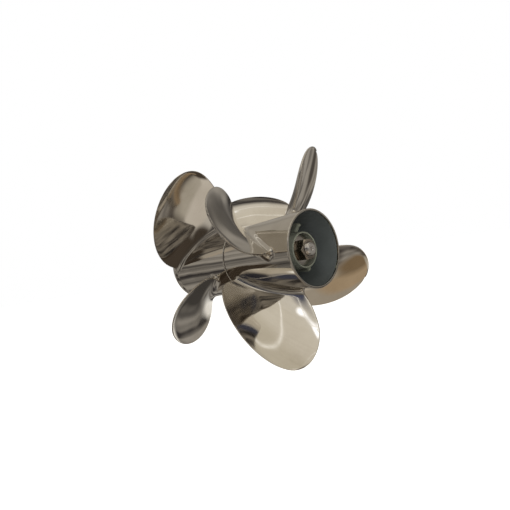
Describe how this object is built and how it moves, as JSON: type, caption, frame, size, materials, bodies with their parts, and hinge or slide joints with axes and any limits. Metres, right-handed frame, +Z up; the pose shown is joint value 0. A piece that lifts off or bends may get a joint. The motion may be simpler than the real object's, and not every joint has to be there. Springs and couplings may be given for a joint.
{
  "type": "boat propeller set",
  "caption": "Counter-rotating pair of polished stainless boat propellers on one shaft axis, with through-hub exhaust barrels and splined shafts.",
  "frame": {"origin": "centre of the carrier's front face, where the drive holds the set, on the shaft axis", "axes": "+Y along the shaft axis, forwards to the drive; the flared trailing rim is towards -Y; +Z up"},
  "size_m": [0.3224, 0.313, 0.3224],
  "materials": {
    "polished_steel": "mirror polished stainless steel",
    "hub_steel": "matt, as cast",
    "shaft_steel": "machined",
    "rubber": "matt",
    "brass": "machined",
    "aluminium": "satin"
  },
  "bodies": {
    "carrier": {"bearing_carrier": "aluminium", "carrier_bearing": "shaft_steel"},
    "front_propeller": {"front_barrel": "polished_steel", "front_blade_1": "polished_steel", "front_blade_2": "polished_steel", "front_blade_3": "polished_steel", "front_blade_4": "polished_steel", "front_inner_hub": "hub_steel", "front_rib_1": "hub_steel", "front_rib_2": "hub_steel", "front_rib_3": "hub_steel", "front_rib_4": "hub_steel", "front_rubber_bush": "rubber", "front_spline_sleeve": "brass", "front_thrust_ring": "brass", "front_lock_washer": "shaft_steel", "front_ring_nut": "shaft_steel", "outer_shaft": "shaft_steel", "shaft_sleeve_bearing": "brass"},
    "rear_propeller": {"rear_barrel": "polished_steel", "rear_blade_1": "polished_steel", "rear_blade_2": "polished_steel", "rear_blade_3": "polished_steel", "rear_blade_4": "polished_steel", "rear_inner_hub": "hub_steel", "rear_rib_1": "hub_steel", "rear_rib_2": "hub_steel", "rear_rib_3": "hub_steel", "rear_rib_4": "hub_steel", "rear_rubber_bush": "rubber", "rear_spline_sleeve": "brass", "rear_thrust_washer": "brass", "rear_washer": "shaft_steel", "rear_nut": "shaft_steel", "inner_shaft": "shaft_steel"}
  },
  "joints": [
    {"name": "rear_spin", "type": "hinge", "parent": "carrier", "child": "rear_propeller", "pos_m": [0, -0.24, 0], "axis": [0, 1, 0], "continuous": true},
    {"name": "front_spin", "type": "hinge", "parent": "carrier", "child": "front_propeller", "pos_m": [0, -0.09, 0], "axis": [0, 1, 0], "continuous": true}
  ],
  "couplings": [
    {"joint": "front_spin", "follows": "rear_spin", "ratio": -1}
  ]
}
